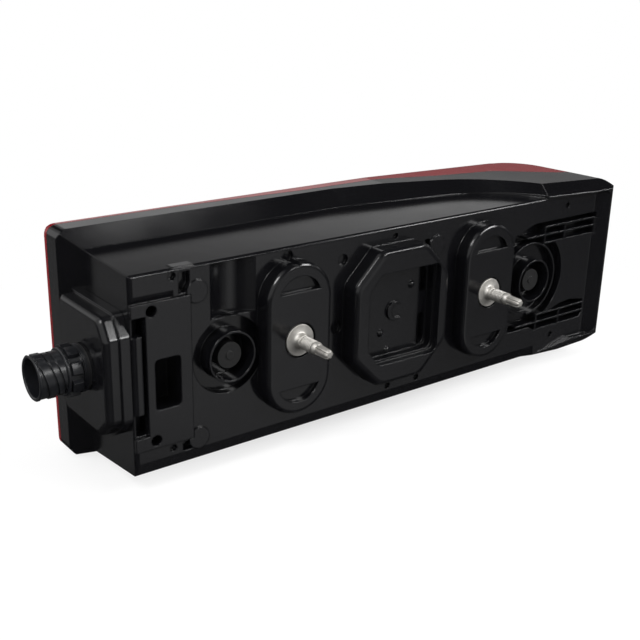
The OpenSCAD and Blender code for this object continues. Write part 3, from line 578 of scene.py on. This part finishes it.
def speckled(name, colour, pale, rough):
    material, tree, place, surface = finish(name, **{"IOR": 1.5, "Roughness": rough})
    specks = add(tree, "ShaderNodeTexNoise", {"Vector": place, "Scale": 800.0, "Detail": 3.0})
    shade = add(tree, "ShaderNodeValToRGB", {"Fac": specks.outputs["Fac"]},
                stops=[(0.4, linear(colour)), (0.65, linear(pale))]).outputs["Color"]
    drive(tree, surface, Base_Color=shade)
    return material


dress("reflector", plated("metallised_tray", "#d9dadc", "#e4e5e6", 0.12))
dress("main_board end_board", solder_resist("green_solder_resist"))
dress("tail_leds stop_leds fog_leds indicator_leds reversing_leds marker_leds",
      speckled("diode_ceramic", "#d9cf8a", "#f0e8b8", 0.35))
dress("wiring_loom", speckled("red_wire_jacket", "#7a1512", "#8c1c18", 0.45))

# %% [markdown]
# ## Floor and light
#
# A product photograph like this one is cut out on white. The floor is white and matt round the lamp, where
# it keeps a soft shadow, and fades into plain white further out.
#
# What a black glossy moulding shows is the room, so a room is painted for glossy rays. Below the horizon is
# a table that is bright on one side, fades to dark in the middle and is grey on the other. Above it is a
# pale wall that ends in a dark ceiling, and it turns evenly pale towards the connector.
#
# The back face mirrors the table, the top face mirrors the wall, and the sloping band under the rim mirrors
# the ceiling, which is why it is so much darker. These steps were set to match the photograph's tones from
# this camera, so they belong to this scene and not to the finishes.

# %% Floor
FLOOR_Z = cad_box[0][2] - 1 * MM

fresh()
bpy.ops.mesh.primitive_plane_add(size=12, location=(0, 0, FLOOR_Z))
floor = bpy.context.object
floor.name = "floor"
paper = bpy.data.materials.new("white_table")
paper.use_nodes = True
tree = paper.node_tree
tree.nodes.clear()
rays = add(tree, "ShaderNodeLightPath").outputs
place = add(tree, "ShaderNodeTexCoord").outputs["Object"]
distance = add(tree, "ShaderNodeVectorMath", {0: place}, operation="LENGTH").outputs["Value"]
fade = add(tree, "ShaderNodeValToRGB", {"Fac": distance},
           stops=[(0.0, 0.65), (0.4, 1.0)]).outputs["Color"]
matt = add(tree, "ShaderNodeBsdfDiffuse", {"Color": linear("#f4f4f4")})
white = add(tree, "ShaderNodeEmission", {"Color": linear("#ffffff"), "Strength": 1.0})
clear = add(tree, "ShaderNodeBsdfTransparent")
faded = add(tree, "ShaderNodeMixShader", {0: fade, 1: matt.outputs[0], 2: white.outputs[0]})
seen = add(tree, "ShaderNodeMixShader",
           {0: rays["Is Camera Ray"], 1: matt.outputs[0], 2: faded.outputs[0]})
passed = add(tree, "ShaderNodeMixShader",
             {0: rays["Is Glossy Ray"], 1: seen.outputs[0], 2: clear.outputs[0]})
add(tree, "ShaderNodeOutputMaterial", {"Surface": passed.outputs[0]})
floor.data.materials.append(paper)

# %% World
TABLE_ACROSS = [(0.1, 0.08), (0.15, 0.19), (0.19, 0.3), (0.22, 0.48), (0.3, 0.64), (0.38, 0.3), (0.43, 0.04),
                (0.55, 0.05), (0.69, 0.17), (0.77, 0.16), (0.88, 0.03)]
TABLE_DOWN = [(0.0, 0.12), (0.248, 0.15), (0.266, 0.8), (0.31, 1.0)]
WALL_UP = [(0.0, 0.15), (0.17, 0.18), (0.22, 0.65), (0.26, 0.9), (0.28, 0.72), (0.3, 0.42), (0.33, 0.27),
           (0.36, 0.16), (0.42, 0.015)]

world = bpy.data.worlds.new("studio")
scene.world = world
world.use_nodes = True
tree = world.node_tree
tree.nodes.clear()
rays = add(tree, "ShaderNodeLightPath").outputs
direction = add(tree, "ShaderNodeTexCoord").outputs["Generated"]
parts = add(tree, "ShaderNodeSeparateXYZ", {"Vector": direction}).outputs
height = parts["Z"]
side = add(tree, "ShaderNodeMapRange", {"Value": parts["X"], 1: -1.0, 2: 1.0}).outputs["Result"]
drop = add(tree, "ShaderNodeMapRange", {"Value": height, 1: -1.0, 2: 1.0}).outputs["Result"]
across = add(tree, "ShaderNodeValToRGB", {"Fac": side}, stops=TABLE_ACROSS).outputs["Color"]
strip = add(tree, "ShaderNodeValToRGB", {"Fac": drop}, stops=TABLE_DOWN).outputs["Color"]
table = add(tree, "ShaderNodeMath", {0: across, 1: strip}, operation="MULTIPLY").outputs["Value"]
wall = add(tree, "ShaderNodeValToRGB", {"Fac": height}, stops=WALL_UP).outputs["Color"]
right = add(tree, "ShaderNodeMapRange", {"Value": parts["X"], 1: 0.05, 2: 0.3}).outputs["Result"]
room = add(tree, "ShaderNodeMix", {0: right, 6: wall, 7: linear("#e8e8e8")}, data_type="RGBA").outputs[2]
below = add(tree, "ShaderNodeMapRange", {"Value": height, 1: -0.04, 2: 0.04}).outputs["Result"]
painted = add(tree, "ShaderNodeMix", {0: below, 6: table, 7: room}, data_type="RGBA").outputs[2]
around = add(tree, "ShaderNodeBackground", {"Color": linear("#ffffff"), "Strength": 0.9})
mirrored = add(tree, "ShaderNodeBackground", {"Color": painted, "Strength": 1.0})
white = add(tree, "ShaderNodeBackground", {"Color": linear("#ffffff"), "Strength": 1.0})
glossy = add(tree, "ShaderNodeMixShader",
             {0: rays["Is Glossy Ray"], 1: around.outputs[0], 2: mirrored.outputs[0]})
seen = add(tree, "ShaderNodeMixShader",
           {0: rays["Is Camera Ray"], 1: glossy.outputs[0], 2: white.outputs[0]})
add(tree, "ShaderNodeOutputWorld", {"Surface": seen.outputs[0]})

# %% [markdown]
# ## Lamps
#
# A square lamp gives the main light, a long one beyond the far end draws a line along the edges, and a small
# one overhead keeps the near end of the band under the rim from going black.

# %% Lamps
def softbox(name, towards, away, width, height, watts):
    """A rectangular lamp, away from the lamp cluster in a direction, that faces it."""
    place = Vector(towards).normalized() * away
    bpy.ops.object.light_add(type="AREA", location=place)
    lamp = bpy.context.object
    lamp.name = name
    lamp.data.shape = "RECTANGLE"
    lamp.data.size, lamp.data.size_y = width, height
    lamp.data.energy = watts
    lamp.rotation_euler = (-place).to_track_quat("-Z", "Y").to_euler()


softbox("key_lamp", (0.62, 0.26, 0.74), away=1.6, width=0.5, height=0.5, watts=12)
softbox("edge_lamp", (-0.55, 0.6, 0.56), away=1.7, width=1.4, height=0.2, watts=22)
softbox("ceiling_lamp", (-0.38, -0.12, 0.92), away=1.5, width=0.16, height=0.3, watts=0.8)

scene.view_settings.view_transform = "Standard"
